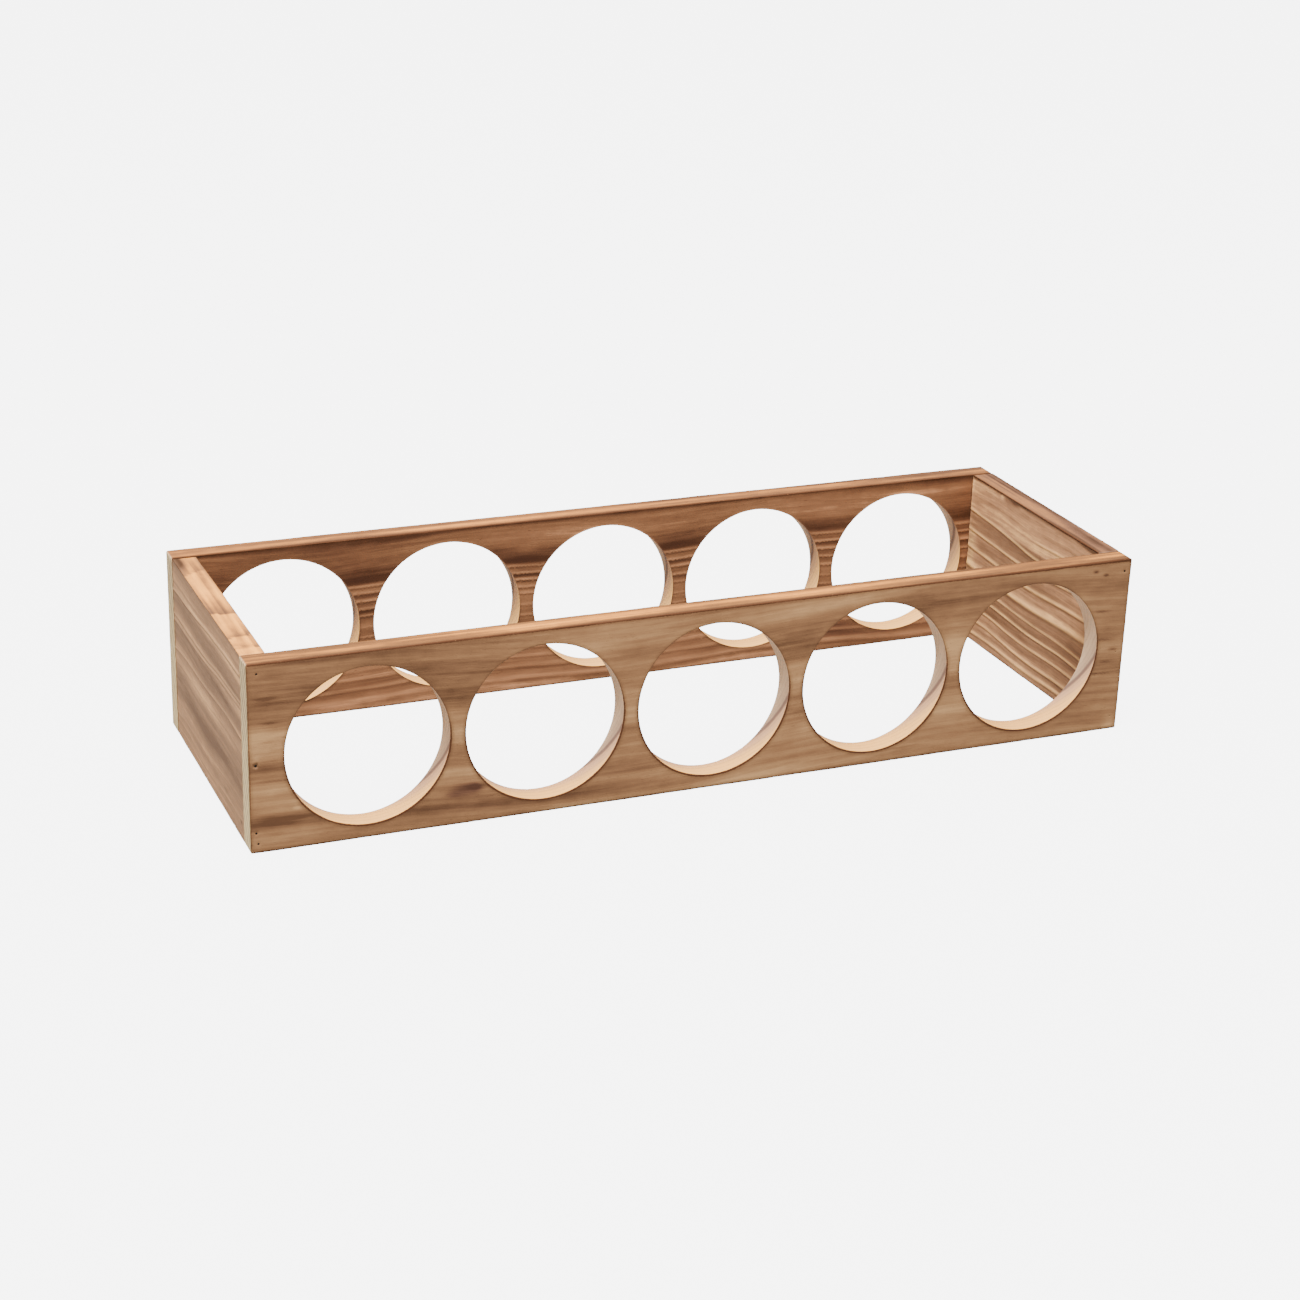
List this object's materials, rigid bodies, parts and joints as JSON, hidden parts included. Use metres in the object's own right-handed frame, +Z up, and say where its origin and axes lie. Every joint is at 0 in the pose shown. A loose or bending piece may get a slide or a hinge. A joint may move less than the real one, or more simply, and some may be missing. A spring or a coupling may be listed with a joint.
{
  "type": "bottle rack",
  "caption": "Low open wooden frame whose long front and back panels have a row of large round holes, lined up so that bottles lie through both.",
  "frame": {"origin": "centre of the footprint, on the surface that the rack stands on", "axes": "+X along the rack, +Y from the front panel to the back panel, +Z up"},
  "size_m": [0.5, 0.172, 0.102],
  "materials": {
    "front_board": "planed and lightly scorched softwood, matt clear finish",
    "back_board": "planed and lightly scorched softwood, matt clear finish",
    "left_board": "planed and lightly scorched softwood, matt clear finish",
    "right_board": "planed and lightly scorched softwood, matt clear finish",
    "brad_steel": "dull bare wire"
  },
  "bodies": {
    "root": {"front_panel": "front_board", "back_panel": "back_board", "left_side_panel": "left_board", "right_side_panel": "right_board", "brad_front_left_1": "brad_steel", "brad_front_left_2": "brad_steel", "brad_front_left_3": "brad_steel", "brad_front_left_4": "brad_steel", "brad_front_right_1": "brad_steel", "brad_front_right_2": "brad_steel", "brad_front_right_3": "brad_steel", "brad_back_left_1": "brad_steel", "brad_back_left_2": "brad_steel", "brad_back_left_3": "brad_steel", "brad_back_right_1": "brad_steel", "brad_back_right_2": "brad_steel", "brad_back_right_3": "brad_steel"}
  },
  "joints": []
}
